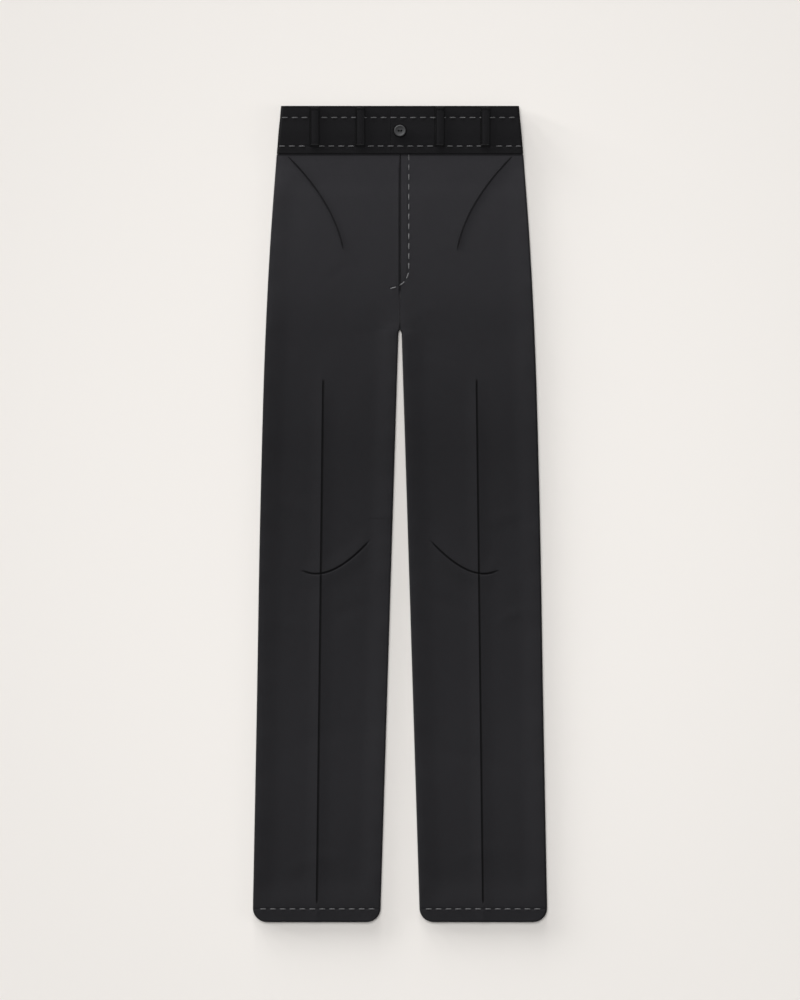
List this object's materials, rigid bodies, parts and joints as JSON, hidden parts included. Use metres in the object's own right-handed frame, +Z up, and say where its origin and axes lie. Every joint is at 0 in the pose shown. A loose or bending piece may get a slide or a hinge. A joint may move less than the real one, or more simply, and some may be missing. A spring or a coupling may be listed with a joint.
{
  "type": "chino trousers laid flat",
  "caption": "Full-length chino trousers lying flat on their back, front up, with a waistband, belt loops, a fly, curved pockets, pressed creases and turned-up hems.",
  "frame": {"origin": "under the middle of the garment, on the surface that it lies on", "axes": "+Z up from the surface, out of the garment's front; +Y from the hems to the waist; +X to the viewer's right, which is the wearer's left"},
  "size_m": [0.3972, 1.1016, 0.0115],
  "materials": {
    "body_twill": "charcoal cotton twill, matt, with a fine diagonal rib",
    "waistband_twill": "the same twill doubled, nearly black, matt",
    "welt_twill": "the same twill folded to a narrow lip, matt",
    "button_resin": "dark grey resin, satin"
  },
  "bodies": {
    "root": {"front_left": "body_twill", "front_right": "body_twill", "back_left": "body_twill", "back_right": "body_twill", "waistband_left": "waistband_twill", "waistband_right": "waistband_twill", "belt_loop_front_1": "waistband_twill", "belt_loop_front_2": "waistband_twill", "belt_loop_front_3": "waistband_twill", "belt_loop_front_4": "waistband_twill", "belt_loop_back_left": "waistband_twill", "belt_loop_back_centre": "waistband_twill", "belt_loop_back_right": "waistband_twill", "pocket_welt_left": "welt_twill", "pocket_welt_right": "welt_twill", "button": "button_resin"}
  },
  "joints": []
}
